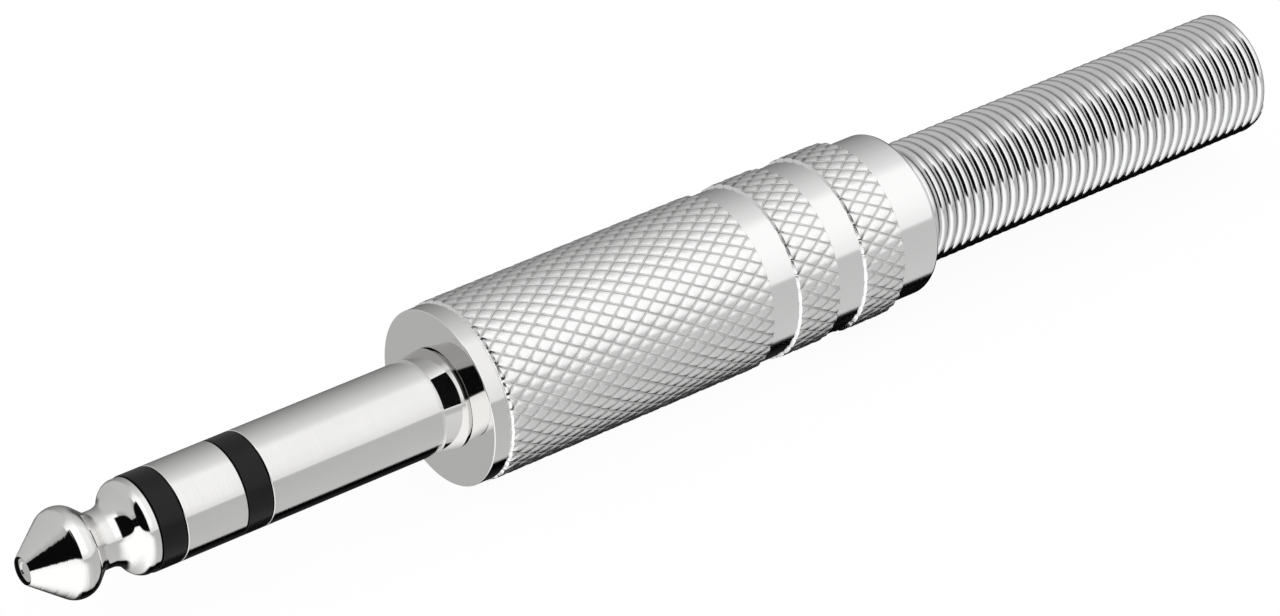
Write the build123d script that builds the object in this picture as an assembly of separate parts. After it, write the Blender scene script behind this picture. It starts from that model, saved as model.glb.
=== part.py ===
from build123d import *
import math
import os

os.makedirs("parts", exist_ok=True)

# A three-pole jack plug for a 6.35 mm socket, with a knurled screw-on barrel and a coil spring at
# the cable entry. It lies along X with the tip at -X. The origin is on the axis, at the front face
# of the flange that seats on the socket. Every size is in millimetres.

# The contact shaft
shaft_radius = 3.175
plug_length = 31.0
tip_length = 8.04
front_collar_length = 1.86
ring_length = 4.41
rear_collar_length = 1.92

# The tip's turned outline, as distances behind its end and radii
nose_radius = 0.89
bulge_station, bulge_radius, bulge_round = 3.21, 3.39, 1.34
waist_radius = 1.90
waist_front_station, waist_front_round = 4.88, 0.48
waist_rear_station, waist_rear_round = 6.36, 1.43
shoulder_station, shoulder_round = 7.25, 0.80
tip_rear_radius = 3.12
centre_mark_radius = 0.34
centre_mark_depth = 0.28

# The nested rod and tubes inside the shaft
rod_radius = 0.90
rod_tube_wall = 0.35
ring_tube_wall = 0.45
sleeve_tube_wall = 0.40
nesting_gap = 0.03

# The flange, its polished root and the threaded spigot behind it
root_flare_length = 1.66
root_flare_radius = 3.43
flange_step = 0.13
flange_thickness = 1.25
spigot_radius = 4.90
spigot_length = 5.65
undercut_width = 0.70
undercut_depth = 0.45
spigot_chamfer = 0.35
neck_wall = 0.40
counterbore_step = 0.23
counterbore_depth = 1.50

# The stack of solder tags and insulators on the spigot's rear end
sleeve_sheet = 0.60
tag_sheet = 0.50
bush_flange_gap = 0.17
bush_flange_thickness = 0.80
tag_washer_step = 0.20
tag_washer_thickness = 0.80
rivet_washer_step = 0.50
rivet_washer_thickness = 0.40
peen_width = 0.55
peen_height = 0.50
peen_chamfer = 0.30

# The sleeve tag with its arm and cable clamp
sleeve_ring_width = 0.97
sleeve_arm_clearance = 0.13
sleeve_arm_width = 2.40
clamp_distance = 13.7
clamp_length = 6.0
clamp_radius = 3.10
clamp_ear_height = 3.35
clamp_corner = 1.30
fold_radius = 0.15

# The two solder tags
ring_tag_washer_width = 1.10
ring_tag_arm_gap = 0.85
ring_tag_length = 9.3
ring_tag_angle = 52.0
tip_tag_washer_width = 1.32
tip_tag_arm_drop = 0.95
tip_tag_length = 9.0
tip_tag_angle = -52.0
tag_arm_width = 2.20
eye_flat = 0.10
solder_hole_radius = 0.55

# The barrel, with three knurled bands parted by two plain grooves
barrel_wall = 1.09
knurl_depth = 0.22
knurl_starts = 37
knurl_axial_pitch = 1.56
knurl_band_lengths = (21.33, 3.60, 3.60)
groove_depth = 0.35
groove_width = 1.88
collar_step = 0.44
collar_length = 3.42
collar_chamfer = 0.45
bore_clearance = 0.08
bore_chamfer = 0.30
mouth_length = 3.20
mouth_clearance = 0.12
seat_gap = 0.02

# The coil spring that guards the cable
wire_diameter = 0.70
coil_radius = 4.24
coil_pitch = 0.775
coil_end = 68.18
coil_end_angle = 111.0
tucked_turns = 0.40
tuck = 0.45
wide_coil_clearance = 0.13
wide_turns = 1.75
closing_turns = 0.75
steps_per_turn = 11
wire_sides = 6
coil_gap = 0.10

# The insulating liner inside the barrel
liner_clearance = 0.10
liner_wall = 0.43

# Places along the shaft
tip_end = -plug_length
tip_rear = tip_end + tip_length
ring_front = tip_rear + front_collar_length
ring_rear = ring_front + ring_length
sleeve_front = ring_rear + rear_collar_length

# Radii of the nested tubes, from the rod outwards
rod_tube_bore = rod_radius + nesting_gap
rod_tube_radius = rod_tube_bore + rod_tube_wall
ring_bore = rod_tube_radius + nesting_gap
ring_tube_radius = ring_bore + ring_tube_wall
sleeve_tube_bore = ring_tube_radius + nesting_gap
sleeve_tube_radius = sleeve_tube_bore + sleeve_tube_wall
sleeve_bore = sleeve_tube_radius + nesting_gap

# Places behind the flange, through the stack of tags
spigot_end = flange_thickness + spigot_length
neck_end = spigot_end + sleeve_sheet
counterbore_front = neck_end - counterbore_depth
ring_tag_front = neck_end + bush_flange_thickness
ring_tag_rear = ring_tag_front + tag_sheet
tip_tag_front = ring_tag_rear + tag_washer_thickness
tip_tag_rear = tip_tag_front + tag_sheet
peen_front = tip_tag_rear + rivet_washer_thickness
clamp_front = spigot_end + clamp_distance
clamp_rear = clamp_front + clamp_length

# Places along the barrel
barrel_front = flange_thickness + seat_gap
band_fronts = [
    barrel_front + sum(knurl_band_lengths[:k]) + k * groove_width
    for k in range(len(knurl_band_lengths))
]
collar_front = band_fronts[-1] + knurl_band_lengths[-1]
barrel_rear = collar_front + collar_length
barrel_bore = spigot_radius + bore_clearance
knurl_radius = barrel_bore + barrel_wall
groove_radius = knurl_radius - groove_depth
collar_radius = knurl_radius - collar_step
flange_radius = knurl_radius - flange_step
mouth_front = barrel_rear - mouth_length
mouth_radius = coil_radius + mouth_clearance

# The spring's wide turns lie in front of the barrel's mouth and hold it in
wide_radius = barrel_bore - wide_coil_clearance
coil_front = mouth_front - coil_pitch * (wide_turns + closing_turns) - coil_gap
coil_turns = (coil_end - wire_diameter / 2 - coil_front) / coil_pitch

liner_radius = barrel_bore - liner_clearance
liner_bore = liner_radius - liner_wall
liner_front = spigot_end + seat_gap
liner_rear = coil_front - wire_diameter / 2 - coil_gap

# Radii of the stack of tags. The corners of the sleeve tag's arm stay clear of the liner.
counterbore_radius = sleeve_bore + counterbore_step
neck_radius = counterbore_radius + neck_wall
neck_hole = neck_radius + nesting_gap
ring_tag_washer_radius = sleeve_tube_bore + ring_tag_washer_width
tip_tag_washer_radius = rod_tube_bore + tip_tag_washer_width
tag_washer_radius = neck_radius - tag_washer_step
rivet_washer_radius = tip_tag_washer_radius - rivet_washer_step
sleeve_arm_radius = math.sqrt((liner_bore - sleeve_arm_clearance) ** 2 - (sleeve_arm_width / 2) ** 2)
bush_flange_radius = sleeve_arm_radius - sleeve_sheet - bush_flange_gap
ring_tag_arm_radius = liner_bore - ring_tag_arm_gap
tip_tag_arm_radius = ring_tag_arm_radius - tip_tag_arm_drop


# A solid turned about the X axis from its half section, given as (station, radius) corners
def turned(corners, rounds=None):
    if rounds:
        radii = [rounds.get(k, 0) for k in range(len(corners))]
        outline = FilletPolyline(*corners, radius=radii, close=True)
    else:
        outline = Polyline(*corners, close=True)
    return revolve(make_face(outline), Axis.X)


# A plain tube or washer
def tube(front, rear, bore, radius):
    return turned([(front, bore), (front, radius), (rear, radius), (rear, bore)])


def tip_contact():
    peen_radius = rod_radius + peen_width
    corners = [
        (tip_end, 0),
        (tip_end, nose_radius),
        (tip_end + bulge_station, bulge_radius),
        (tip_end + waist_front_station, waist_radius),
        (tip_end + waist_rear_station, waist_radius),
        (tip_end + shoulder_station, tip_rear_radius),
        (tip_rear, tip_rear_radius),
        (tip_rear, rod_radius),
        (peen_front, rod_radius),
        (peen_front, peen_radius),
        (peen_front + peen_height - peen_chamfer, peen_radius),
        (peen_front + peen_height, peen_radius - peen_chamfer),
        (peen_front + peen_height, 0),
    ]
    rounds = {2: bulge_round, 3: waist_front_round, 4: waist_rear_round, 5: shoulder_round}
    mark = turned([(tip_end, 0), (tip_end, centre_mark_radius), (tip_end + centre_mark_depth, 0)])
    return turned(corners, rounds) - mark


def ring_contact():
    corners = [
        (ring_front, ring_bore),
        (ring_front, shaft_radius),
        (ring_rear, shaft_radius),
        (ring_rear, ring_tube_radius),
        (ring_tag_rear, ring_tube_radius),
        (ring_tag_rear, ring_bore),
    ]
    return turned(corners)


def sleeve_contact():
    undercut_end = flange_thickness + undercut_width
    corners = [
        (sleeve_front, sleeve_bore),
        (sleeve_front, shaft_radius),
        (-root_flare_length, shaft_radius),
        (0, root_flare_radius),
        (0, flange_radius),
        (flange_thickness, flange_radius),
        (flange_thickness, spigot_radius - undercut_depth),
        (undercut_end, spigot_radius - undercut_depth),
        (undercut_end + undercut_depth, spigot_radius),
        (spigot_end - spigot_chamfer, spigot_radius),
        (spigot_end, spigot_radius - spigot_chamfer),
        (spigot_end, neck_radius),
        (neck_end, neck_radius),
        (neck_end, counterbore_radius),
        (counterbore_front, counterbore_radius),
        (counterbore_front, sleeve_bore),
    ]
    return turned(corners)


def insulating_bush():
    spigot_radius_in_sleeve = counterbore_radius - nesting_gap
    corners = [
        (counterbore_front, sleeve_tube_bore),
        (counterbore_front, spigot_radius_in_sleeve),
        (neck_end, spigot_radius_in_sleeve),
        (neck_end, bush_flange_radius),
        (ring_tag_front, bush_flange_radius),
        (ring_tag_front, sleeve_tube_bore),
    ]
    return turned(corners)


# The bent arm of a tag: it rises from the washer's face and folds back along the axis
def folded_arm(front, root_radius, arm_radius, rear, sheet, width):
    corners = [
        (front, 0, root_radius),
        (front, 0, arm_radius),
        (rear, 0, arm_radius),
        (rear, 0, arm_radius - sheet),
        (front + sheet, 0, arm_radius - sheet),
        (front + sheet, 0, root_radius),
    ]
    outer_fold = min(fold_radius + sheet, 0.9 * (arm_radius - root_radius))
    inner_fold = min(fold_radius, 0.9 * (arm_radius - sheet - root_radius))
    radii = [0, outer_fold, 0, 0, inner_fold, 0]
    outline = FilletPolyline(*corners, radius=radii, close=True)
    return extrude(make_face(outline), amount=width / 2, dir=(0, 1, 0), both=True)


def sleeve_tag():
    ring = tube(spigot_end, neck_end, neck_hole, neck_hole + sleeve_ring_width)
    root = neck_hole + fold_radius / 2
    arm = folded_arm(spigot_end, root, sleeve_arm_radius, clamp_rear, sleeve_sheet, sleeve_arm_width)
    arm = Rot(180, 0, 0) * arm
    centre = clamp_radius - sleeve_arm_radius
    ear_top = centre + clamp_ear_height
    inner = clamp_radius - sleeve_sheet
    trough = Polyline(
        (clamp_front, -clamp_radius, centre),
        (clamp_front, -clamp_radius, ear_top),
        (clamp_front, -inner, ear_top),
        (clamp_front, -inner, centre),
    )
    trough += ThreePointArc(
        (clamp_front, -inner, centre), (clamp_front, 0, centre - inner), (clamp_front, inner, centre)
    )
    trough += Polyline(
        (clamp_front, inner, centre),
        (clamp_front, inner, ear_top),
        (clamp_front, clamp_radius, ear_top),
        (clamp_front, clamp_radius, centre),
    )
    trough += ThreePointArc(
        (clamp_front, clamp_radius, centre),
        (clamp_front, 0, centre - clamp_radius),
        (clamp_front, -clamp_radius, centre),
    )
    clamp = extrude(make_face(trough), amount=clamp_length, dir=(1, 0, 0))
    ear_corners = clamp.edges().filter_by(Axis.Y).group_by(Axis.Z)[-1]
    clamp = fillet(ear_corners, clamp_corner)
    return ring + arm + clamp


# A solder tag: a washer on the stack with one arm that ends in a round eye
def solder_tag(front, hole, washer, arm_radius, length, angle):
    rear = front + length
    ring = tube(front, front + tag_sheet, hole, washer)
    root = min(washer - fold_radius, arm_radius - tag_sheet - 2 * fold_radius)
    arm = folded_arm(front, root, arm_radius, rear, tag_sheet, tag_arm_width)
    eye_corners = arm.edges().filter_by(Axis.Z).group_by(Axis.X)[-1]
    arm = fillet(eye_corners, tag_arm_width / 2 - eye_flat)
    eye = Pos(rear - tag_arm_width / 2, 0, arm_radius) * Cylinder(solder_hole_radius, 4 * tag_sheet)
    return Rot(angle, 0, 0) * (ring + arm - eye)


# One knurled band as a solid rod. Two families of grooves cross on it, so its corners lie on a
# grid that has a pyramid's point and a crossing of grooves in turn, both ways.
def knurled_band(front, length):
    columns = round(2 * length / knurl_axial_pitch)
    rows = 2 * knurl_starts
    grid = []
    for i in range(columns + 1):
        ring = []
        for j in range(rows):
            radius = knurl_radius - knurl_depth * ((i + j) % 2)
            angle = 2 * math.pi * j / rows
            x = front + length * i / columns
            ring.append(Vector(x, radius * math.cos(angle), radius * math.sin(angle)))
        grid.append(ring)
    facets = []
    for i in range(columns):
        for j in range(rows):
            near = grid[i][j], grid[i][(j + 1) % rows]
            far = grid[i + 1][j], grid[i + 1][(j + 1) % rows]
            if (i + j) % 2:
                facets += [(near[0], far[0], far[1]), (near[0], far[1], near[1])]
            else:
                facets += [(near[0], far[0], near[1]), (far[0], far[1], near[1])]
    faces = [Face(Wire.make_polygon(corners, close=True)) for corners in facets + [grid[0], grid[-1]]]
    return Solid(Shell(faces))


def barrel():
    core = [(barrel_front, 0), (barrel_front, groove_radius), (collar_front, groove_radius)]
    core += [(collar_front, collar_radius), (barrel_rear - collar_chamfer, collar_radius)]
    core += [(barrel_rear, collar_radius - collar_chamfer), (barrel_rear, 0)]
    bands = [knurled_band(x, length) for x, length in zip(band_fronts, knurl_band_lengths)]
    bore = [
        (barrel_front, 0),
        (barrel_front, barrel_bore + bore_chamfer),
        (barrel_front + bore_chamfer, barrel_bore),
        (mouth_front, barrel_bore),
        (mouth_front, mouth_radius),
        (barrel_rear, mouth_radius),
        (barrel_rear, 0),
    ]
    return turned(core) + bands - turned(bore)


# A smooth step from 0 to 1 as the value goes from start over the given length
def smooth_step(value, start, length):
    part = min(max((value - start) / length, 0.0), 1.0)
    return part * part * (3.0 - 2.0 * part)


# The wire's middle line leaves the wide turns on a smooth ramp, keeps its radius, and is tucked in
# a little at its cut end
def wire_radius_at(turn):
    narrowed = (wide_radius - coil_radius) * smooth_step(turn, wide_turns, closing_turns)
    tucked = tuck * smooth_step(turn, coil_turns - tucked_turns, tucked_turns)
    return wide_radius - narrowed - tucked - wire_diameter / 2


def wire_section(turn):
    x, r = coil_front + coil_pitch * turn, wire_radius_at(turn)
    corners = []
    for k in range(wire_sides):
        angle = 2 * math.pi * (k + 0.5) / wire_sides
        across, along = math.cos(angle) * wire_diameter / 2, math.sin(angle) * wire_diameter / 2
        corners.append((x + along, 0, r + across))
    angle = coil_end_angle + 360.0 * (coil_turns - turn)
    return Wire.make_polygon(corners, close=True).rotate(Axis.X, angle)


def strain_relief_spring():
    steps = round(coil_turns * steps_per_turn)
    return Solid.make_loft([wire_section(coil_turns * k / steps) for k in range(steps + 1)], ruled=True)


nodes = {
    "tip_contact": tip_contact(),
    "front_collar": tube(tip_rear, ring_front, rod_tube_radius + nesting_gap, shaft_radius),
    "rod_tube": tube(tip_rear, ring_tag_rear, rod_tube_bore, rod_tube_radius),
    "ring_contact": ring_contact(),
    "rear_collar": tube(ring_rear, sleeve_front, sleeve_tube_radius + nesting_gap, shaft_radius),
    "sleeve_tube": tube(ring_rear, counterbore_front, sleeve_tube_bore, sleeve_tube_radius),
    "sleeve_contact": sleeve_contact(),
    "sleeve_tag": sleeve_tag(),
    "insulating_bush": insulating_bush(),
    "ring_tag": solder_tag(
        ring_tag_front, sleeve_tube_bore, ring_tag_washer_radius, ring_tag_arm_radius,
        ring_tag_length, ring_tag_angle,
    ),
    "tag_washer": tube(ring_tag_rear, tip_tag_front, rod_tube_bore, tag_washer_radius),
    "tip_tag": solder_tag(
        tip_tag_front, rod_tube_bore, tip_tag_washer_radius, tip_tag_arm_radius, tip_tag_length,
        tip_tag_angle,
    ),
    "rivet_washer": tube(tip_tag_rear, peen_front, rod_tube_bore, rivet_washer_radius),
    "liner_sleeve": tube(liner_front, liner_rear, liner_bore, liner_radius),
    "barrel": barrel(),
    "strain_relief_spring": strain_relief_spring(),
}

for name, shape in nodes.items():
    export_step(shape, f"parts/{name}.step")
print(f"coil turns {coil_turns:.2f}, barrel from {barrel_front:.2f} to {barrel_rear:.2f}")
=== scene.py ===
# Blender 4.5: a three-pole jack plug with a knurled barrel and a coil spring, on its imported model
import math

import bpy
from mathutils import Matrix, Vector


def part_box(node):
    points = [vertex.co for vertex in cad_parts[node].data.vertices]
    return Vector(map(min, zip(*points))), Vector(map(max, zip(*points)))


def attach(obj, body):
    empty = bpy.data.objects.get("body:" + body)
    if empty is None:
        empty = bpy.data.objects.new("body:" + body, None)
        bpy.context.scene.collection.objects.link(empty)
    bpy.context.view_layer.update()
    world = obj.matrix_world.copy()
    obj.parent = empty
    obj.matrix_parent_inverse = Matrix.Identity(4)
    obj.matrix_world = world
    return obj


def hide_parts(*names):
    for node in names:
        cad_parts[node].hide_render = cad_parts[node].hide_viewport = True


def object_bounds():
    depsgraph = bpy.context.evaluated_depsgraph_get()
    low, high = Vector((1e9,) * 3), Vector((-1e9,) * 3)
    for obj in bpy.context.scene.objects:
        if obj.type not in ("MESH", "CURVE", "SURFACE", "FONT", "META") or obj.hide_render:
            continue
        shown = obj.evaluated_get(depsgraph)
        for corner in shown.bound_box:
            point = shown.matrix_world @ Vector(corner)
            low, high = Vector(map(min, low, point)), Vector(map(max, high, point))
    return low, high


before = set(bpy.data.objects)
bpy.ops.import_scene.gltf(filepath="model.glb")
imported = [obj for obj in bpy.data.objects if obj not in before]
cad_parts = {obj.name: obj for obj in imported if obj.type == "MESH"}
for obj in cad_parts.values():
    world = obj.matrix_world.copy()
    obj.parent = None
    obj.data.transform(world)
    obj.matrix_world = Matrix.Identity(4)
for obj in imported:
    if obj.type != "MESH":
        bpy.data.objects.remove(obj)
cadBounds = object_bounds()
bpy.context.scene.view_settings.view_transform = "Standard"
mm = 0.001
turn = math.tau
hair = 0.001 * mm  # places closer than this count as one


# --- shader maths

class Signal:
    # one output of a node, so that maths on it reads as plain expressions
    def __init__(self, shader, socket):
        self.shader = shader
        self.socket = socket

    def __add__(self, other):
        return self.shader.maths("ADD", self, other)

    def __sub__(self, other):
        return self.shader.maths("SUBTRACT", self, other)

    def __rsub__(self, other):
        return self.shader.maths("SUBTRACT", other, self)

    def __mul__(self, other):
        return self.shader.maths("MULTIPLY", self, other)

    __radd__ = __add__
    __rmul__ = __mul__


class Shader:
    # the node tree of one material or of the world
    def __init__(self, tree):
        self.tree = tree
        tree.nodes.clear()

    def add(self, kind, settings, inputs, output=0):
        node = self.tree.nodes.new(kind)
        for name, value in settings.items():
            if name == "stops":
                ramp = node.color_ramp
                while len(ramp.elements) < len(value):
                    ramp.elements.new(0.5)
                for element, (place, grey) in zip(ramp.elements, value):
                    element.position = place
                    element.color = (grey, grey, grey, 1)
            else:
                setattr(node, name, value)
        for name, value in inputs.items():
            if isinstance(value, Signal):
                self.tree.links.new(value.socket, node.inputs[name])
            else:
                node.inputs[name].default_value = value
        return Signal(self, node.outputs[output]) if node.outputs else None

    def maths(self, operation, first, second=0.0):
        return self.add("ShaderNodeMath", {"operation": operation}, {0: first, 1: second})

    def between(self, value, low, high):
        # 0 below low, 1 above high, smooth between them
        values = {"Value": value, "From Min": low, "From Max": high}
        return self.add("ShaderNodeMapRange", {"interpolation_type": "SMOOTHSTEP"}, values)

    def mixColours(self, amount, first, second):
        return self.add("ShaderNodeMix", {"data_type": "RGBA"}, {0: amount, 6: first, 7: second}, 2)

    def noise(self, place, scale, detail, roughness=0.5):
        # a scale for each axis stretches the pattern
        if isinstance(scale, tuple):
            values = {"Vector": place, "Scale": scale}
            place, scale = self.add("ShaderNodeMapping", {"vector_type": "POINT"}, values), 1.0
        values = {"Vector": place, "Scale": scale, "Detail": detail, "Roughness": roughness}
        return self.add("ShaderNodeTexNoise", {}, values)

    def place(self):
        return self.add("ShaderNodeTexCoord", {}, {}, 3)  # Object coordinates, in metres

    def split(self, place):
        parts = self.add("ShaderNodeSeparateXYZ", {}, {"Vector": place}).socket.node.outputs
        return [Signal(self, part) for part in parts]

    def bump(self, height, depth):
        return self.add("ShaderNodeBump", {}, {"Height": height, "Strength": 1.0, "Distance": depth})


def linear(shown):
    # the amount of light behind a grey as a screen shows it
    return ((shown + 0.055) / 1.055) ** 2.4 if shown > 0.04 else shown / 12.92


def newMaterial(name, paint):
    material = bpy.data.materials.new(name)
    material.use_nodes = True
    shader = Shader(material.node_tree)
    surface = shader.add("ShaderNodeBsdfPrincipled", {}, paint(shader))
    shader.add("ShaderNodeOutputMaterial", {}, {"Surface": surface})
    return material


# --- metals and insulators

# A pattern is a noise's scale, or its scales along X, Y and Z, with its detail and its roughness.
# A share says how much a pattern adds to the roughness, and a depth is that of the bump.
plating = {
    "linePitch": 0.11 * mm, "lineSpread": 40.0, "lineDetail": (3.0, 0.6), "haze": (420.0, 4.0),
}


def turningLines(shader, place, pitch):
    # fine rings left by the lathe: the height changes along X, and hardly round the axis
    spread = plating["lineSpread"]
    return shader.noise(place, (1 / pitch, spread, spread), *plating["lineDetail"])


polishedFinish = {
    "colour": (0.825, 0.82, 0.81, 1), "roughness": 0.025, "hazeShare": 0.04,
    "depth": 0.030 * mm, "lineShare": 0.006,
    # soft swells on the tip's cone
    "swellPitch": 0.26 * mm, "swellShare": 0.75, "coneEnd": (-27.4 * mm, -26.8 * mm),
    # painted shade: a darker colour on the flare's far side, standing for the darker reflection that
    # side shows
    "flareShadeColour": (0.56, 0.555, 0.55, 1), "shadedFlareSide": (-2.1 * mm, -0.9 * mm),
    "flareFront": (-1.69 * mm, -1.67 * mm), "flareRear": (-0.20 * mm, -0.02 * mm),
}


def polishedNickel(shader):
    f = polishedFinish
    place = shader.place()
    lines = turningLines(shader, place, plating["linePitch"])
    swells = turningLines(shader, place, f["swellPitch"])
    x, y, _ = shader.split(place)
    # painted shade: the flare's far side is darkened in the base colour
    onCone = 1 - shader.between(x, *f["coneEnd"])
    shadedFlare = shader.between(x, *f["flareFront"]) - shader.between(x, *f["flareRear"])
    shadedFlare = shadedFlare * shader.between(y, *f["shadedFlareSide"])
    haze = shader.noise(place, *plating["haze"])
    height = lines * f["lineShare"] + swells * onCone * f["swellShare"]
    return {
        "Base Color": shader.mixColours(shadedFlare, f["colour"], f["flareShadeColour"]),
        "Metallic": 1.0,
        "Roughness": haze * f["hazeShare"] + f["roughness"],
        "Normal": shader.bump(height, f["depth"]),
    }


barrelFinish = {
    "colour": (0.93, 0.93, 0.925, 1), "roughness": 0.08, "hazeShare": 0.06, "depth": 0.002 * mm,
}


def barrelNickel(shader):
    f = barrelFinish
    place = shader.place()
    lines = turningLines(shader, place, plating["linePitch"])
    haze = shader.noise(place, *plating["haze"])
    return {
        "Base Color": f["colour"],
        "Metallic": 1.0,
        "Roughness": haze * f["hazeShare"] + f["roughness"],
        "Normal": shader.bump(lines, f["depth"]),
    }


satinFinish = {
    "colours": ((0.79, 0.785, 0.775, 1), (0.85, 0.845, 0.835, 1)),
    "streaks": ((3500.0, 260.0, 260.0), 3.0), "cloud": ((240.0, 700.0, 700.0), 4.0),
    "roughness": 0.04, "streakShare": 0.05, "cloudShare": 0.02, "depth": 0.006 * mm,
}


def satinNickel(shader):
    f = satinFinish
    place = shader.place()
    lines = turningLines(shader, place, plating["linePitch"])
    streaks = shader.noise(place, *f["streaks"])
    cloud = shader.noise(place, *f["cloud"])
    return {
        "Base Color": shader.mixColours(cloud, *f["colours"]),
        "Metallic": 1.0,
        "Roughness": streaks * f["streakShare"] + cloud * f["cloudShare"] + f["roughness"],
        "Normal": shader.bump(lines, f["depth"]),
    }


# the knurl, and the foot of its grooves between the diamonds, which is painted darker as shade in the
# recesses
rolledFinish = {
    "colour": barrelFinish["colour"], "grooveShadeColour": (0.64, 0.64, 0.635, 1),
    "grain": (5200.0, 4.0, 0.6), "roughness": 0.22, "grainShare": 0.10, "depth": 0.010 * mm,
}


def rolledNickel(shader, colour):
    f = rolledFinish
    grain = shader.noise(shader.place(), *f["grain"])
    return {
        "Base Color": colour,
        "Metallic": 1.0,
        "Roughness": grain * f["grainShare"] + f["roughness"],
        "Normal": shader.bump(grain, f["depth"]),
    }


def knurledNickel(shader):
    return rolledNickel(shader, rolledFinish["colour"])


# painted shade: the darker colour at the foot of the knurl's grooves
def knurlGrooveShade(shader):
    return rolledNickel(shader, rolledFinish["grooveShadeColour"])


boreFinish = {
    "colour": barrelFinish["colour"], "threadPitch": 0.75 * mm, "grain": (2600.0, 3.0),
    "roughness": 0.18, "grainShare": 0.10, "depth": 0.10 * mm,
}


def threadedBore(shader):
    # the screw thread inside the barrel, as waves on a helix of the thread's pitch
    f = boreFinish
    place = shader.place()
    x, y, z = shader.split(place)
    turns = shader.maths("ARCTAN2", y, z) * (1 / turn)
    waves = shader.maths("SINE", (x * (1 / f["threadPitch"]) + turns) * turn)
    grain = shader.noise(place, *f["grain"])
    return {
        "Base Color": f["colour"],
        "Metallic": 1.0,
        "Roughness": grain * f["grainShare"] + f["roughness"],
        "Normal": shader.bump(waves, f["depth"]),
    }


wireFinish = {
    "colour": (0.79, 0.79, 0.795, 1), "drawn": (3000.0, 3.0),
    "roughness": 0.07, "drawnShare": 0.05, "depth": 0.001 * mm,
}


def springWire(shader):
    f = wireFinish
    drawn = shader.noise(shader.place(), *f["drawn"])
    return {
        "Base Color": f["colour"],
        "Metallic": 1.0,
        "Roughness": drawn * f["drawnShare"] + f["roughness"],
        "Normal": shader.bump(drawn, f["depth"]),
    }


tinFinish = {
    "colours": ((0.62, 0.60, 0.56, 1), (0.72, 0.71, 0.68, 1)),
    "rolled": ((900.0, 4200.0, 4200.0), 3.0), "dull": (600.0, 4.0),
    "roughness": 0.25, "rolledShare": 0.15, "depth": 0.004 * mm,
}


def tinnedBrass(shader):
    f = tinFinish
    place = shader.place()
    rolled = shader.noise(place, *f["rolled"])
    dull = shader.noise(place, *f["dull"])
    return {
        "Base Color": shader.mixColours(dull, *f["colours"]),
        "Metallic": 1.0,
        "Roughness": rolled * f["rolledShare"] + f["roughness"],
        "Normal": shader.bump(rolled, f["depth"]),
    }


darkFinish = {
    "colours": ((0.004, 0.004, 0.0045, 1), (0.009, 0.009, 0.010, 1)),
    "linePitch": 0.08 * mm, "cloud": (500.0, 3.0),
    "roughness": 0.20, "cloudShare": 0.08, "shine": 0.22, "depth": 0.0015 * mm,
}


def darkInsulator(shader):
    f = darkFinish
    place = shader.place()
    lines = turningLines(shader, place, f["linePitch"])
    cloud = shader.noise(place, *f["cloud"])
    return {
        "Base Color": shader.mixColours(cloud, *f["colours"]),
        "Roughness": cloud * f["cloudShare"] + f["roughness"],
        "Specular IOR Level": f["shine"],
        "Normal": shader.bump(lines, f["depth"]),
    }


clearFinish = {
    "colours": ((0.72, 0.72, 0.66, 1), (0.82, 0.82, 0.78, 1)), "cloud": (700.0, 3.0),
    "roughness": 0.35, "cloudShare": 0.1, "depth": 0.004 * mm,
    "scatter": 0.15, "scatterReach": (0.0006, 0.0006, 0.0005),
}


def clearInsulator(shader):
    f = clearFinish
    cloud = shader.noise(shader.place(), *f["cloud"])
    return {
        "Base Color": shader.mixColours(cloud, *f["colours"]),
        "Roughness": cloud * f["cloudShare"] + f["roughness"],
        "Subsurface Weight": f["scatter"],
        "Subsurface Radius": f["scatterReach"],
        "Normal": shader.bump(cloud, f["depth"]),
    }


fibreFinish = {
    "colours": ((0.30, 0.075, 0.045, 1), (0.46, 0.14, 0.09, 1)),
    "fibres": ((6000.0, 1500.0, 1500.0), 5.0, 0.65),
    "roughness": 0.55, "fibreShare": 0.2, "depth": 0.02 * mm,
}


def fibreWasher(shader):
    f = fibreFinish
    fibres = shader.noise(shader.place(), *f["fibres"])
    return {
        "Base Color": shader.mixColours(fibres, *f["colours"]),
        "Roughness": fibres * f["fibreShare"] + f["roughness"],
        "Normal": shader.bump(fibres, f["depth"]),
    }


paints = {
    "polished_nickel": polishedNickel, "satin_nickel": satinNickel, "barrel_nickel": barrelNickel,
    "knurled_nickel": knurledNickel, "knurl_groove_shade": knurlGrooveShade, "threaded_bore": threadedBore,
    "spring_wire": springWire, "tinned_brass": tinnedBrass, "dark_insulator": darkInsulator,
    "clear_insulator": clearInsulator, "fibre_washer": fibreWasher,
}
materials = {slot: newMaterial(slot, paint) for slot, paint in paints.items()}
print("materials made:", len(materials))


# --- modelling by hand, with operators

def editing(on):
    bpy.ops.object.mode_set(mode="EDIT" if on else "OBJECT")


def onlySelect(piece):
    bpy.ops.object.select_all(action="DESELECT")
    piece.select_set(True)
    bpy.context.view_layer.objects.active = piece


def selectPoints(piece, test):
    # in edit mode: selects the points that pass the test on their place
    bpy.ops.mesh.select_mode(type="VERT")
    bpy.ops.mesh.select_all(action="DESELECT")
    editing(False)
    for point in piece.data.vertices:
        point.select = bool(test(point.co))
    editing(True)


outline = {
    "margin": 0.03 * mm, "longestReach": 0.98, "doubles": 0.0002 * mm,
    "steps": 160, "smoothAngle": 32,
}


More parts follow.
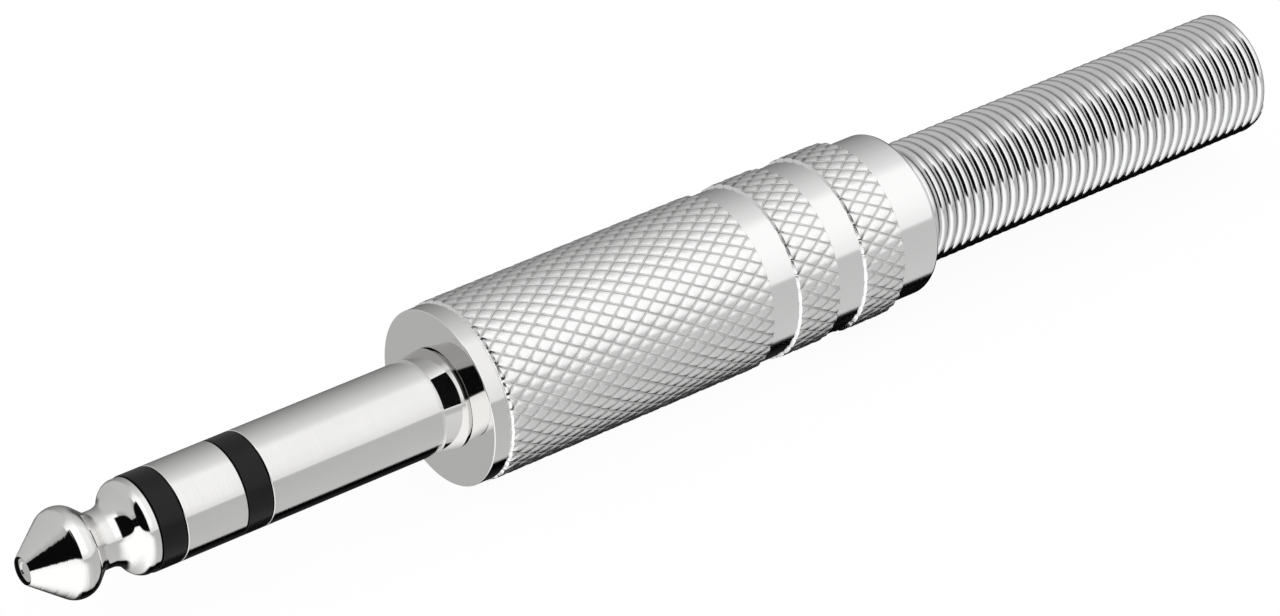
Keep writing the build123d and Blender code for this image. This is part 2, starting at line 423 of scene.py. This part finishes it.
def drawOutline(name, corners):
    # A chain of edges in the XZ plane through corners, in millimetres: each is a station and a radius,
    # and ends with its round where it has one, as a radius and a number of segments.
    # A point just outside each round keeps its soft shading off the long faces beside it.
    places = [Vector((corner[0] * mm, 0, corner[1] * mm)) for corner in corners]
    chain, turnings = [], []
    for k, (place, corner) in enumerate(zip(places, corners)):
        if len(corner) == 2:
            chain.append(place)
            continue
        radius, segments = corner[2]
        back, ahead = places[k - 1] - place, places[k + 1] - place
        reach = radius * mm / math.tan(back.angle(ahead) / 2)
        for side in (back, ahead):
            away = min(reach + outline["margin"], outline["longestReach"] * side.length)
            chain.append(place + side.normalized() * away)
        chain.insert(-1, place)
        turnings.append((place, reach, segments))
    bpy.ops.object.select_all(action="DESELECT")
    bpy.ops.mesh.primitive_plane_add(size=mm)
    piece = bpy.context.object
    piece.name = piece.data.name = name
    editing(True)
    bpy.ops.mesh.select_mode(type="VERT")
    bpy.ops.mesh.select_all(action="SELECT")
    bpy.ops.mesh.merge(type="CENTER")
    bpy.ops.transform.translate(value=chain[0])
    for here, following in zip(chain, chain[1:]):
        bpy.ops.mesh.extrude_vertices_move(TRANSFORM_OT_translate={"value": following - here})
    for place, reach, segments in turnings:
        selectPoints(piece, lambda point: (point - place).length < 2 * hair)
        bpy.ops.mesh.bevel(offset=reach, segments=segments, profile=0.5, affect="VERTICES")
    return piece


def turned(name, corners, closed=True):
    # spins the outline once round the X axis, as on a lathe
    piece = drawOutline(name, corners + corners[:1] if closed else corners)
    bpy.ops.mesh.select_all(action="SELECT")
    bpy.ops.mesh.spin(steps=outline["steps"], angle=turn, center=(0, 0, 0), axis=(1, 0, 0))
    bpy.ops.mesh.select_all(action="SELECT")
    bpy.ops.mesh.remove_doubles(threshold=outline["doubles"])
    bpy.ops.mesh.normals_make_consistent(inside=False)
    editing(False)
    bpy.ops.object.shade_smooth_by_angle(angle=math.radians(outline["smoothAngle"]))
    return piece


def crispRings(piece, stations):
    # keeps the shading sharp along the rings that stand at these stations
    onlySelect(piece)
    editing(True)
    bpy.ops.mesh.select_mode(type="EDGE")
    bpy.ops.mesh.select_all(action="DESELECT")
    editing(False)
    points = piece.data.vertices
    for edge in piece.data.edges:
        a, b = (points[i].co.x for i in edge.vertices)
        near = any(abs(a - station * mm) < hair for station in stations)
        edge.select = near and abs(a - b) < hair / 10
    editing(True)
    bpy.ops.mesh.mark_sharp()
    editing(False)


def paintWhere(piece, slotIndex, test):
    # gives the faces whose middle passes the test another of the piece's materials
    for face in piece.data.polygons:
        if test(face.center):
            face.material_index = slotIndex


def finish(piece, node, body, slots):
    # the first slot is the one that the record names for the piece
    onlySelect(piece)
    bpy.ops.object.transform_apply(location=True, rotation=True, scale=True)
    if not piece.data.materials:
        for slot in slots:
            piece.data.materials.append(materials[slot])
    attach(piece, body)
    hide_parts(node)
    piece.data.calc_loop_triangles()
    print(f"{piece.name}: {len(piece.data.loop_triangles)} triangles")
    return piece


def ends(node):
    low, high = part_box(node)
    return low.x / mm, high.x / mm, high.y / mm  # front, rear and radius, in millimetres


# --- the contact shaft

tip = {
    "noseRadius": 0.95,
    "grooveRadii": (0.93, 0.76), "grooveDepth": 0.24,
    "landDepth": 0.15, "pinRadius": 0.50, "pinHeight": 0.27, "pinWall": 0.03,
    "bulgeStation": 3.21, "bulgeRadius": 3.39, "bulgeRound": (1.34, 24),
    "waistRadius": 1.90, "waistStations": (4.88, 6.36), "waistRounds": ((0.48, 12), (1.43, 20)),
    "shoulderStation": 7.25, "shoulderRound": (0.80, 16), "rearRadius": 3.12, "edge": (0.05, 4),
    "rodRadius": 0.90, "peenRadius": 1.45, "peenHeight": 0.50, "peenRound": (0.28, 6),
}


def makeTip():
    front, rear, _ = ends("tip_contact")
    shoulder = ends("front_collar")[0]
    peenFront = rear - tip["peenHeight"]
    w1, w2 = tip["waistStations"]
    outerRadius, landRadius = tip["grooveRadii"]
    grooveEnd, land = front + tip["grooveDepth"], front + tip["landDepth"]
    landStart = tip["pinRadius"] + tip["pinWall"]
    corners = [
        (front, 0),
        (front + tip["pinHeight"], tip["pinRadius"]),
        (front + tip["pinHeight"], landStart),
        (land, landStart),
        (land, landRadius),
        (grooveEnd, landRadius),
        (grooveEnd, outerRadius),
        (front, outerRadius),
        (front, tip["noseRadius"]),
        (front + tip["bulgeStation"], tip["bulgeRadius"], tip["bulgeRound"]),
        (front + w1, tip["waistRadius"], tip["waistRounds"][0]),
        (front + w2, tip["waistRadius"], tip["waistRounds"][1]),
        (front + tip["shoulderStation"], tip["rearRadius"], tip["shoulderRound"]),
        (shoulder, tip["rearRadius"], tip["edge"]),
        (shoulder, tip["rodRadius"]),
        (peenFront, tip["rodRadius"]),
        (peenFront, tip["peenRadius"]),
        (rear, tip["peenRadius"], tip["peenRound"]),
        (rear, 0),
    ]
    piece = turned("tip", corners, closed=False)
    finish(piece, "tip_contact", "plug", ["polished_nickel", "dark_insulator"])
    margin = 10 * hair

    # painted shade: the groove round the nose face takes the black insulator material, standing for the
    # shade inside it
    def inShadedGroove(middle):
        station, radius = middle.x, math.hypot(middle.y, middle.z)
        deep = front * mm + margin / 2 < station < grooveEnd * mm + margin
        return deep and landRadius * mm - margin < radius < outerRadius * mm + margin

    paintWhere(piece, 1, inShadedGroove)
    return piece


collars = {
    "edge": (0.03, 4), "gap": 0.09, "gapDepth": 0.22,
    "bore": {"front_collar": 1.31, "rear_collar": 2.22},
}


def makeCollar(node):
    front, rear, radius = ends(node)
    bore = collars["bore"][node]
    foot, gap = radius - collars["gapDepth"], collars["gap"]
    corners = [
        (front, bore),
        (front, foot),
        (front + gap, foot),
        (front + gap, radius, collars["edge"]),
        (rear - gap, radius, collars["edge"]),
        (rear - gap, foot),
        (rear, foot),
        (rear, bore),
    ]
    piece = turned(node + "_moulded", corners)
    return finish(piece, node, "plug", ["dark_insulator"])


ring = {"edge": (0.06, 4), "bore": 1.31, "tubeRadius": 1.76}


def makeRing():
    front, rear, radius = ends("ring_contact")
    headRear = ends("rear_collar")[0]
    corners = [
        (front, ring["bore"]),
        (front, radius, ring["edge"]),
        (headRear, radius, ring["edge"]),
        (headRear, ring["tubeRadius"]),
        (rear, ring["tubeRadius"]),
        (rear, ring["bore"]),
    ]
    piece = turned("ring_turned", corners)
    return finish(piece, "ring_contact", "plug", ["satin_nickel"])


sleeve = {
    "edge": (0.06, 4), "bore": 2.22, "shaftRadius": 3.175,
    "flareLength": 1.66, "flareRadius": 3.43, "flareNick": 0.03, "flareEdge": (0.02, 2),
    "rootGrooveWidth": 0.14, "rootGrooveDepth": 0.22,
    "flangeThickness": 1.25, "flangeEdges": ((0.07, 4), (0.06, 3)),
    "undercut": 0.70, "threadDepth": 0.42, "threadPitch": 0.75, "threadSteps": 48,
    "threadHalfShare": 0.46, "threadSink": 0.05, "crestHalf": 0.06,
    "spigotRadius": 4.90, "spigotEdge": (0.15, 4), "neckRadius": 2.85, "neckLength": 0.60,
    "counterboreRadius": 2.45, "counterboreDepth": 1.50,
}


def makeSleeve():
    front, rear, radius = ends("sleeve_contact")
    s = sleeve
    spigotEnd = rear - s["neckLength"]
    core = s["spigotRadius"] - s["threadDepth"]
    flareFront = -s["flareLength"]
    grooveFront = -s["rootGrooveWidth"]
    slope = (s["flareRadius"] - s["shaftRadius"]) / s["flareLength"]
    flareEnd = s["flareRadius"] - slope * s["rootGrooveWidth"]
    corners = [
        (front, s["bore"]),
        (front, s["shaftRadius"], s["edge"]),
        (flareFront - s["flareNick"], s["shaftRadius"]),
        (flareFront, s["shaftRadius"] - s["flareNick"]),
        (grooveFront, flareEnd, s["flareEdge"]),
        (grooveFront, flareEnd - s["rootGrooveDepth"]),
        (0, flareEnd - s["rootGrooveDepth"]),
        (0, radius, s["flangeEdges"][0]),
        (s["flangeThickness"], radius, s["flangeEdges"][1]),
        (s["flangeThickness"], core),
        (spigotEnd, core, s["spigotEdge"]),
        (spigotEnd, s["neckRadius"]),
        (rear, s["neckRadius"]),
        (rear, s["counterboreRadius"]),
        (rear - s["counterboreDepth"], s["counterboreRadius"]),
        (rear - s["counterboreDepth"], s["bore"]),
    ]
    piece = turned("sleeve_turned", corners)
    crispRings(piece, [flareFront, flareFront - s["flareNick"]])
    thread = makeThread(s["flangeThickness"] + s["undercut"], spigotEnd, core)
    onlySelect(piece)
    thread.select_set(True)
    bpy.ops.object.join()
    finish(piece, "sleeve_contact", "plug", ["satin_nickel", "polished_nickel"])
    polishedFrom = flareFront * mm - hair
    paintWhere(piece, 1, lambda middle: middle.x > polishedFrom)
    return piece


def makeThread(front, rear, core):
    # one triangular ridge screwed round the spigot, sunk a little into its core
    pitch, top = sleeve["threadPitch"], sleeve["crestHalf"]
    root, crest = core - sleeve["threadSink"], sleeve["spigotRadius"]
    half = sleeve["threadHalfShare"] * pitch
    first = front + half
    chain = [(first - half, root), (first - top, crest), (first + top, crest), (first + half, root)]
    piece = drawOutline("thread", chain + chain[:1])
    bpy.ops.mesh.select_all(action="SELECT")
    bpy.ops.mesh.remove_doubles(threshold=outline["doubles"])
    editing(False)
    turns = (rear - front - 2 * half) / pitch
    steps = round(turns * sleeve["threadSteps"])
    screw = piece.modifiers.new("thread", "SCREW")
    screw.axis, screw.angle, screw.screw_offset = "X", turn * turns, turns * pitch * mm
    screw.steps = screw.render_steps = steps
    screw.use_merge_vertices = False
    onlySelect(piece)
    bpy.ops.object.modifier_apply(modifier="thread")
    editing(True)
    bpy.ops.mesh.select_all(action="SELECT")
    bpy.ops.mesh.fill_holes(sides=0)
    bpy.ops.mesh.normals_make_consistent(inside=False)
    editing(False)
    return piece


# --- the knurled barrel

barrel = {
    "bore": 4.98, "boreChamfer": 0.30, "boreMargin": 0.1, "threadedLength": 7.0,
    "grooveRadius": 5.88,
    "collarRadius": 5.63, "collarLength": 3.42, "collarChamfer": 0.45,
    "collarRounds": ((0.30, 5), (0.12, 4), (0.10, 4)),
    "mouthLength": 3.20, "mouthRadius": 4.36,
    "bandLengths": (21.33, 3.60, 3.60), "grooveWidth": 1.88, "bandInnerShare": 0.9,
}
knurl = {
    "starts": 37, "axialPitch": 1.56,
    "flankWidth": 0.10, "flankHeight": 0.050,
    "crownWidth": 0.13, "crownHeight": 0.030,
    "capWidth": 0.10, "capHeight": 0.008,
    "endChamfer": (0.20, 0.24), "grooveMargin": 0.008, "smoothAngle": 40,
}


def bandPlaces():
    front = ends("barrel")[0]
    places = []
    for length in barrel["bandLengths"]:
        places.append((front, front + length))
        front += length + barrel["grooveWidth"]
    return places


def makeBarrelCore():
    front, rear, _ = ends("barrel")
    b = barrel
    collarFront = rear - b["collarLength"]
    mouthFront = rear - b["mouthLength"]
    shoulderRound, endRound, mouthRound = b["collarRounds"]
    corners = [
        (front, b["grooveRadius"]),
        (collarFront, b["grooveRadius"]),
        (collarFront, b["collarRadius"]),
        (rear - b["collarChamfer"], b["collarRadius"], shoulderRound),
        (rear, b["collarRadius"] - b["collarChamfer"], endRound),
        (rear, b["mouthRadius"], mouthRound),
        (mouthFront, b["mouthRadius"]),
        (mouthFront, b["bore"]),
        (front + b["boreChamfer"], b["bore"]),
        (front, b["bore"] + b["boreChamfer"]),
    ]
    return turned("barrel_turned", corners)


def makeKnurl(front, rear, startStation):
    # a tube of diamonds, each raised to a low domed pad, and cut to the band's length
    k = knurl
    root = ends("barrel")[2] - k["flankHeight"] - k["crownHeight"] - k["capHeight"]
    pitch = k["axialPitch"]
    # there is one row more at each end, because the insets overlap in the half diamonds
    # of the end rows, and the cuts take these off
    cellFront = startStation + (math.floor((front - startStation) / pitch) - 1) * pitch
    rows = math.ceil((rear - cellFront) / pitch) + 1
    bpy.ops.object.select_all(action="DESELECT")
    bpy.ops.mesh.primitive_cylinder_add(
        vertices=k["starts"], radius=root * mm, depth=pitch * mm, end_fill_type="NOTHING",
        location=((cellFront + pitch / 2) * mm, 0, 0), rotation=(0, turn / 4, 0),
    )
    piece = bpy.context.object
    bpy.ops.object.transform_apply(location=True, rotation=True, scale=True)
    array = piece.modifiers.new("rows", "ARRAY")
    array.count, array.use_relative_offset, array.use_constant_offset = rows, False, True
    array.constant_offset_displace = (pitch * mm, 0, 0)
    array.use_merge_vertices, array.merge_threshold = True, hair
    bpy.ops.object.modifier_apply(modifier="rows")
    editing(True)
    bpy.ops.mesh.select_all(action="SELECT")
    rise = root * (1 - math.cos(turn / 2 / k["starts"])) * mm
    bpy.ops.mesh.poke(offset=rise)
    editing(False)
    # the rectangles' own edges go, and leave the diamonds
    corners = piece.data.vertices
    low, high = cellFront * mm, (cellFront + rows * pitch) * mm
    for edge in piece.data.edges:
        a, b = (corners[i].co for i in edge.vertices)
        lengthwise = abs(a.y - b.y) < hair / 10 and abs(a.z - b.z) < hair / 10
        crosswise = abs(a.x - b.x) < hair / 10 and low + hair < a.x < high - hair
        edge.select = lengthwise or crosswise
    for point in corners:
        point.select = False
    for face in piece.data.polygons:
        face.select = False
    editing(True)
    bpy.ops.mesh.select_mode(type="EDGE")
    bpy.ops.mesh.dissolve_edges(use_verts=False)
    bpy.ops.mesh.select_all(action="SELECT")
    bpy.ops.mesh.normals_make_consistent(inside=False)
    bpy.ops.mesh.select_mode(type="FACE")
    bpy.ops.mesh.select_all(action="SELECT")
    for part in ("flank", "crown", "cap"):
        bpy.ops.mesh.inset(
            thickness=k[part + "Width"] * mm, depth=k[part + "Height"] * mm, use_individual=True,
        )
    # the cut ends slope down a little, and then close to a radius inside the turned core
    length, drop = k["endChamfer"]
    share, slopeShare = barrel["bandInnerShare"], 1 - drop / root
    for station, outward in ((front, -1), (rear, 1)):
        cut = (station - outward * length) * mm
        bpy.ops.mesh.select_all(action="SELECT")
        bpy.ops.mesh.bisect(
            plane_co=(cut, 0, 0), plane_no=(1, 0, 0),
            clear_inner=outward < 0, clear_outer=outward > 0, threshold=hair / 100,
        )
        selectPoints(piece, lambda place: abs(place.x - cut) < hair)
        end = (station * mm, 0, 0)
        bpy.ops.mesh.extrude_edges_move(TRANSFORM_OT_translate={"value": (outward * length * mm, 0, 0)})
        bpy.ops.transform.resize(value=(1, slopeShare, slopeShare), center_override=end)
        bpy.ops.mesh.extrude_edges_move()
        bpy.ops.transform.resize(value=(1, share, share), center_override=end)
    inner = (root * slopeShare * (1 + share) / 2) * mm
    selectPoints(piece, lambda place: math.hypot(place.y, place.z) < inner)
    bpy.ops.mesh.bridge_edge_loops()
    bpy.ops.mesh.select_all(action="SELECT")
    bpy.ops.mesh.normals_make_consistent(inside=False)
    editing(False)
    return piece


def makeBarrel():
    core = makeBarrelCore()
    for slot in ("knurled_nickel", "barrel_nickel", "threaded_bore"):
        core.data.materials.append(materials[slot])
    front = ends("barrel")[0]
    threadEnd = (front + barrel["threadedLength"]) * mm
    wall = (barrel["bore"] + barrel["boreMargin"]) * mm
    paintWhere(core, 1, lambda middle: True)
    paintWhere(core, 2, lambda middle: middle.x < threadEnd and math.hypot(middle.y, middle.z) < wall)
    # painted shade: the grooves between the diamonds take the darker groove colour, but for the sloped
    # ends of each band
    k = knurl
    shadeRadius = (ends("barrel")[2] - k["crownHeight"] - k["capHeight"] - k["grooveMargin"]) * mm
    slope = k["endChamfer"][0] * mm
    bands = []
    for bandFront, bandRear in bandPlaces():
        band = makeKnurl(bandFront, bandRear, front)
        bands.append(band)
        onlySelect(band)
        bpy.ops.object.shade_smooth_by_angle(angle=math.radians(k["smoothAngle"]))
        band.data.materials.append(materials["knurled_nickel"])
        band.data.materials.append(materials["knurl_groove_shade"])
        low, high = bandFront * mm + slope, bandRear * mm - slope
        paintWhere(band, 1, lambda middle: (
            low < middle.x < high and math.hypot(middle.y, middle.z) < shadeRadius
        ))
    onlySelect(core)
    for band in bands:
        band.select_set(True)
    bpy.ops.object.join()
    return finish(core, "barrel", "barrel", ["knurled_nickel"])


# --- the coil spring

spring = {
    "wireRadius": 0.35, "coilRadius": 4.24, "pitch": 0.775, "endAngle": 111.0,
    "wideRadius": 4.85, "wideTurns": 1.75, "closingTurns": 0.75,
    "tuck": 0.45, "tuckedTurns": 0.40,
    "stepsPerTurn": 60, "wireSides": 12, "smoothAngle": 50,
}


def smoothStep(value, start, length):
    part = min(max((value - start) / length, 0), 1)
    return part * part * (3 - 2 * part)


def makeSpring():
    front, rear, _ = ends("strain_relief_spring")
    s = spring
    r = s["wireRadius"]
    first, last = front + r, rear - r
    turns = (last - first) / s["pitch"]
    bpy.ops.object.select_all(action="DESELECT")
    bpy.ops.mesh.primitive_circle_add(
        vertices=s["wireSides"], radius=r * mm, location=(first * mm, 0, (s["coilRadius"] - r) * mm),
        rotation=(turn / 4, 0, 0),
    )
    piece = bpy.context.object
    piece.name = piece.data.name = "coil_spring"
    bpy.ops.object.transform_apply(location=True, rotation=True, scale=True)
    screw = piece.modifiers.new("coil", "SCREW")
    screw.axis, screw.angle, screw.screw_offset = "X", -turn * turns, turns * s["pitch"] * mm
    screw.steps = screw.render_steps = round(turns * s["stepsPerTurn"])
    screw.use_merge_vertices = False
    bpy.ops.object.modifier_apply(modifier="coil")
    # the front turns open out to lie behind the barrel's mouth, and the wire's end is tucked in
    for point in piece.data.vertices:
        here = (point.co.x / mm - first) / s["pitch"]
        closed = smoothStep(here, s["wideTurns"], s["closingTurns"])
        opened = (s["wideRadius"] - s["coilRadius"]) * (1 - closed)
        tucked = s["tuck"] * smoothStep(here, turns - s["tuckedTurns"], s["tuckedTurns"])
        reach = math.hypot(point.co.y, point.co.z)
        share = 1 + (opened - tucked) * mm / reach
        point.co.y *= share
        point.co.z *= share
    editing(True)
    bpy.ops.mesh.select_all(action="SELECT")
    bpy.ops.mesh.fill_holes(sides=0)
    bpy.ops.mesh.normals_make_consistent(inside=False)
    editing(False)
    # the cut end of the wire comes to its place on the near side
    piece.rotation_euler = (math.radians(s["endAngle"]) + turn * turns, 0, 0)
    onlySelect(piece)
    bpy.ops.object.transform_apply(location=True, rotation=True, scale=True)
    bpy.ops.object.shade_smooth_by_angle(angle=math.radians(s["smoothAngle"]))
    return finish(piece, "strain_relief_spring", "strain_relief", ["spring_wire"])


makeTip()
makeCollar("front_collar")
makeCollar("rear_collar")
makeRing()
makeSleeve()
makeBarrel()
makeSpring()

# the inner pieces keep their modelled shape and take their finish
keptNodes = {
    "rod_tube": "clear_insulator", "sleeve_tube": "clear_insulator", "liner_sleeve": "clear_insulator",
    "sleeve_tag": "tinned_brass", "ring_tag": "tinned_brass", "tip_tag": "tinned_brass",
    "rivet_washer": "tinned_brass", "insulating_bush": "dark_insulator", "tag_washer": "fibre_washer",
}
for node, slot in keptNodes.items():
    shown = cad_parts[node]
    shown.data.materials.clear()
    shown.data.materials.append(materials[slot])
print("inner pieces finished:", len(keptNodes))


# --- studio: the surround that the metal reflects, in ramps round the plug's axis

# Each ramp runs round the axis, from straight down by the far side, over the top and the near side.
# The stops are angles from the top in degrees, positive to the near side, with a shown grey.
studio = {
    "behindBarrel": [
        (-180, 0.0), (-137, 0.18), (-120, 0.38), (-97, 0.50), (-75, 0.58), (-51, 0.67), (-27, 0.77),
        (-10, 0.83), (4, 0.93), (40, 0.93), (60, 0.91), (80, 0.87), (83, 0.70), (166, 0.73),
        (171, 0.02), (180, 0.0),
    ],
    "beforeTip": [
        (-180, 0.93), (-160, 0.78), (-140, 0.66), (-120, 0.68), (-75, 0.72), (-20, 0.74), (-8, 0.68),
        (10, 0.60), (60, 0.80), (72, 0.93), (100, 1.0), (165, 1.0), (180, 0.95),
    ],
    # where along the axis the two meet, as the X part of the direction, at the same angles
    "border": [
        (-180, -0.10), (-140, 0.15), (-28, 0.25), (-6, -0.42), (80, -0.42), (95, 0.08), (152, 0.08),
        (170, -0.10),
    ],
    "borderWidths": (0.10, 0.40), "wideBorder": ((78, 95), (158, 168)),
    # what stands towards the cable: from which X part to which it fades in, its grey, and its angles
    "axisEnd": (0.80, 0.94, 0.90), "axisEndTurns": ((-20, 30), (64, 84)),
    "farEnd": (0.57, 0.72, 0.34), "farEndTurns": ((-170, -150), (-70, -45)),
    # a bright lamp above the near side: its angles, its two ends as X parts, and its soft edges
    "lamp": ((-8.0, 70.0), (-0.50, -0.40), (0.35, 0.45), (18, 6)), "lampGrey": 1.10,
    # a black flag above the near side, before the tip, given in the same way
    "tipFlag": ((3.0, 79.0), (-2.0, -1.9), (-0.26, -0.14), (3, 3)), "flagGrey": 0.045,
    # the metal's share of the light, and the even grey that lights what isn't metal
    "reflectance": 0.82, "surroundForMatt": 0.95,
}


def lightWorld():
    world = bpy.data.worlds.new("studio")
    bpy.context.scene.world = world
    world.use_nodes = True
    shader = Shader(world.node_tree)
    direction = shader.add("ShaderNodeTexCoord", {}, {}, 0)
    dx, dy, dz = shader.split(direction)
    degrees = shader.maths("ARCTAN2", dy * -1.0, dz) * (360 / turn)
    along = degrees * (1 / 360) + 0.5

    def ramp(stops):
        return shader.add("ShaderNodeValToRGB", {"stops": stops}, {"Fac": along})

    def greys(name):
        return ramp([(a / 360 + 0.5, linear(grey) / studio["reflectance"]) for a, grey in studio[name]])

    def within(value, lower, upper):
        return shader.between(value, *lower) * (1 - shader.between(value, *upper))

    border = ramp([(a / 360 + 0.5, x / 2 + 0.5) for a, x in studio["border"]]) * 2.0 - 1.0
    narrow, wide = studio["borderWidths"]
    width = within(degrees, *studio["wideBorder"]) * (wide - narrow) + narrow
    across = shader.maths("DIVIDE", dx - border, width)
    behind = shader.between(across, -1.0, 1.0)

    def shine(surround, amount, grey):
        level = linear(grey)
        return shader.mixColours(amount, surround, (level, level, level, 1))

    def patch(angles, lower, upper, softness):
        opens = shader.between(degrees - angles[0], -softness[0], softness[0])
        closes = shader.between(degrees - angles[1], -softness[1], softness[1])
        return opens * (1 - closes) * within(dx, lower, upper)

    surround = shader.mixColours(behind, greys("beforeTip"), greys("behindBarrel"))
    for name in ("axisEnd", "farEnd"):
        low, high, grey = studio[name]
        amount = shader.between(dx, low, high) * within(degrees, *studio[name + "Turns"])
        surround = shine(surround, amount, grey)
    surround = shine(surround, patch(*studio["lamp"]), studio["lampGrey"])
    surround = shine(surround, patch(*studio["tipFlag"]), studio["flagGrey"])
    path = shader.add("ShaderNodeLightPath", {}, {}).socket.node.outputs
    seen, diffuse = Signal(shader, path["Is Camera Ray"]), Signal(shader, path["Is Diffuse Ray"])
    matt = studio["surroundForMatt"]
    surround = shader.mixColours(diffuse, surround, (matt, matt, matt, 1))
    surround = shader.mixColours(seen, surround, (1, 1, 1, 1))
    light = shader.add("ShaderNodeBackground", {}, {"Color": surround, "Strength": 1.0})
    shader.add("ShaderNodeOutputWorld", {}, {"Surface": light})


# "shown" is the camera's share of even white, and the rest is the paper, with a faint shadow
paperFloor = {"size": 3.0, "middle": 20 * mm, "paper": 0.9, "white": 1.015, "shown": 0.93}


def layFloor():
    size, middle, paper = paperFloor["size"], paperFloor["middle"], paperFloor["paper"]
    bpy.ops.mesh.primitive_plane_add(size=size, location=(middle, 0, cadBounds[0].z))
    floor = bpy.context.object
    floor.name = "floor"
    material = bpy.data.materials.new("white_floor")
    material.use_nodes = True
    shader = Shader(material.node_tree)
    dull = shader.add("ShaderNodeBsdfDiffuse", {}, {"Color": (paper, paper, paper, 1)})
    white = {"Color": (1, 1, 1, 1), "Strength": paperFloor["white"]}
    even = shader.add("ShaderNodeEmission", {}, white)
    path = shader.add("ShaderNodeLightPath", {}, {}).socket.node.outputs
    shown = Signal(shader, path["Is Camera Ray"]) * paperFloor["shown"]
    surface = shader.add("ShaderNodeMixShader", {}, {0: shown, 1: dull, 2: even})
    shader.add("ShaderNodeOutputMaterial", {}, {"Surface": surface})
    floor.data.materials.append(material)
    floor.visible_glossy = False


cards = {
    "grey": 0.004,
    "low": ((28.0, -4.3), (72.0, 6.0)), "lowDepth": 0.05,
    "bentRadius": 150.0, "bentStations": (16.0, 32.0), "bentTurns": (5.0, 78.0), "bentSteps": 360,
    "lean": (-0.235, -0.215),
}


def hangCards():
    # black paper that only the metal mirrors: flat under the spring, where it stands for the shade
    # under the plug as painted shade in the reflections, and bent round the near side
    (x1, y1), (x2, y2) = cards["low"]
    # painted shade: the flat card puts black in the reflections where the shade under the plug would be
    bpy.ops.mesh.primitive_plane_add(size=1.0)
    flat = bpy.context.object
    flat.name = "black_shade_card_low"
    under = cadBounds[0].z - cards["lowDepth"] * mm
    flat.scale = ((x2 - x1) * mm, (y2 - y1) * mm, 1)
    flat.location = ((x1 + x2) / 2 * mm, (y1 + y2) / 2 * mm, under)
    bpy.ops.object.transform_apply(location=True, rotation=True, scale=True)
    front, rear = cards["bentStations"]
    bpy.ops.object.select_all(action="DESELECT")
    bpy.ops.mesh.primitive_cylinder_add(
        vertices=cards["bentSteps"], radius=cards["bentRadius"] * mm, depth=(rear - front) * mm,
        end_fill_type="NOTHING", location=((front + rear) / 2 * mm, 0, 0), rotation=(0, turn / 4, 0),
    )
    bent = bpy.context.object
    bent.name = "black_card_bent"
    bpy.ops.object.transform_apply(location=True, rotation=True, scale=True)
    first, last = cards["bentTurns"]
    editing(True)
    selectPoints(bent, lambda place: (
        not first < math.degrees(math.atan2(-place.y, place.z)) < last
    ))
    bpy.ops.mesh.delete(type="VERT")
    editing(False)
    grey = cards["grey"]
    black = {"Base Color": (grey, grey, grey, 1), "Roughness": 0.8, "Specular IOR Level": 0.0}

    def aimedPaper(shader):
        # mirrored only along lines that lean little towards the cable: by the flare, and not by the tip
        incoming = shader.add("ShaderNodeNewGeometry", {}, {}, 4)
        return {**black, "Alpha": shader.between(shader.split(incoming)[0], *cards["lean"])}

    flat.data.materials.append(newMaterial("black_shade_paper", lambda shader: black))
    bent.data.materials.append(newMaterial("aimed_paper", aimedPaper))
    for card in (flat, bent):
        card.visible_camera = card.visible_diffuse = card.visible_shadow = False


camera = {
    "place": (-0.16879, -0.23823, 0.19065), "azimuth": -37.81, "elevation": 32.23,
    "lens": 155.2, "sensor": 36.0, "clip": (0.01, 10),
}


def placeCamera():
    bpy.ops.object.camera_add(location=camera["place"])
    eye = bpy.context.object
    azimuth, elevation = math.radians(camera["azimuth"]), math.radians(camera["elevation"])
    level = math.cos(elevation)
    forward = Vector((-math.sin(azimuth) * level, math.cos(azimuth) * level, -math.sin(elevation)))
    eye.rotation_euler = forward.to_track_quat("-Z", "Y").to_euler()
    eye.data.lens = camera["lens"]
    eye.data.sensor_width = camera["sensor"]
    eye.data.clip_start, eye.data.clip_end = camera["clip"]
    bpy.context.scene.camera = eye


lightWorld()
layFloor()
hangCards()
placeCamera()
print("studio and camera placed")
